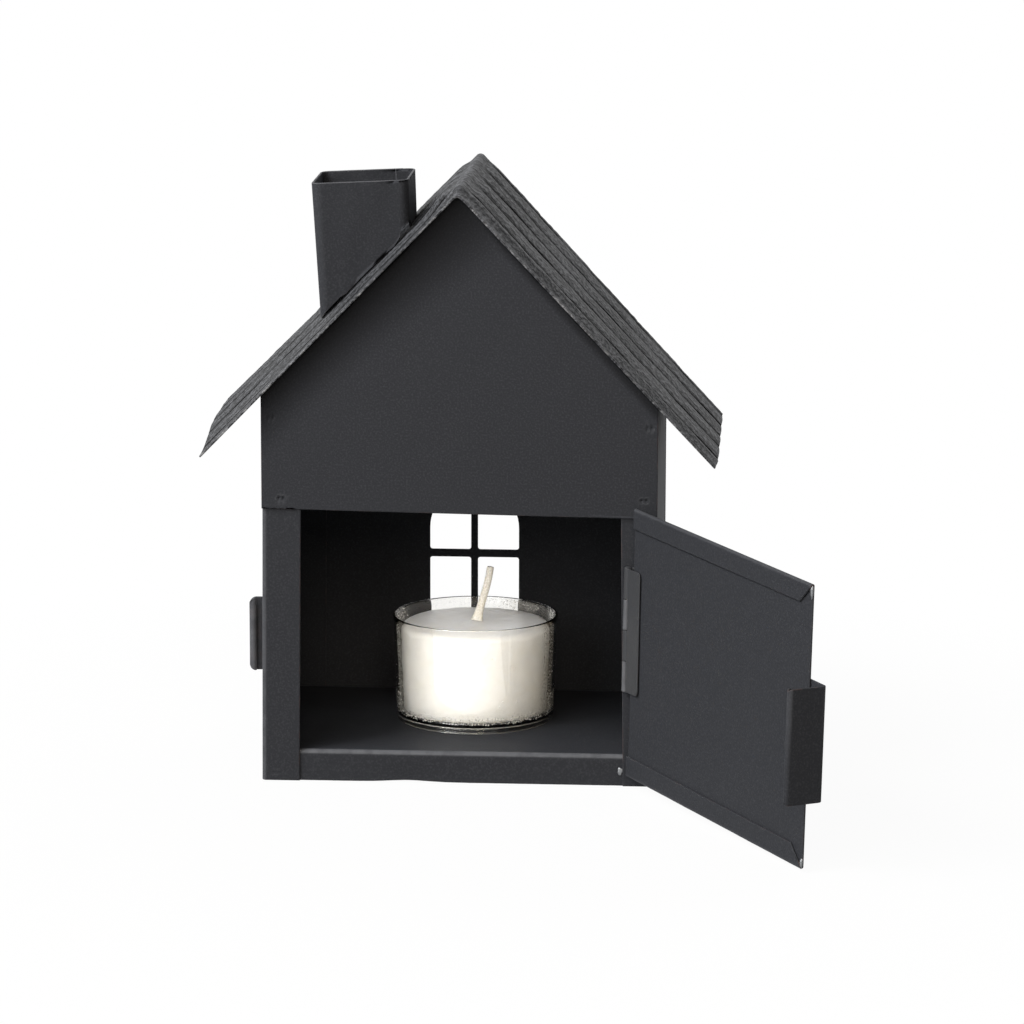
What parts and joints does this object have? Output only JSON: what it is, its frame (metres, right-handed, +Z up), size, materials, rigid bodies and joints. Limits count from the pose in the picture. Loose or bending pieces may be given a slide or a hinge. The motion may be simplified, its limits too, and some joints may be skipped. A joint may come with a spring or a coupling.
{
  "type": "tealight house",
  "caption": "Small folded tin house with an embossed roof, chimney, hinged front door with a clip, arched back window and a clear-cup tealight inside.",
  "frame": {"origin": "middle of the foot of the front lip, on the surface the house stands on", "axes": "+Z up, +X to the right seen from the front, +Y from the front to the back of the house"},
  "size_m": [0.1392, 0.1434, 0.1338],
  "materials": {
    "painted_sheet": "matt black paint on folded tin sheet",
    "painted_roof": "matt black paint on embossed tin sheet",
    "hinge_steel": "matt black paint over a small steel hinge",
    "clear_cup": "clear moulded plastic",
    "wax": "white paraffin wax",
    "wick": "waxed flat-braided cotton",
    "tin_tab": "pressed tinplate"
  },
  "bodies": {
    "house": {"left_wall": "painted_sheet", "right_wall": "painted_sheet", "back_wall": "painted_sheet", "front_gable": "painted_sheet", "floor_pan": "painted_sheet", "roof": "painted_roof", "chimney": "painted_sheet", "clip_catch": "painted_sheet", "hinge_frame_leaf": "hinge_steel", "hinge_pin": "hinge_steel"},
    "door": {"door_panel": "painted_sheet", "door_clip": "painted_sheet", "hinge_door_leaf": "hinge_steel"},
    "tealight": {"tealight_cup": "clear_cup", "tealight_wax": "wax", "tealight_wick": "wick", "wick_tab": "tin_tab"}
  },
  "joints": [
    {"name": "door_hinge", "type": "hinge", "parent": "house", "child": "door", "pos_m": [0.0373, -0.00185, 0.0362], "axis": [0.0157, 0, 0.9999], "range_deg": [-120.8, 44.2]},
    {"name": "tealight_slide", "type": "slide", "parent": "house", "child": "tealight", "axis": [0, 1, 0], "range_m": [-0.014, 0.008]}
  ]
}
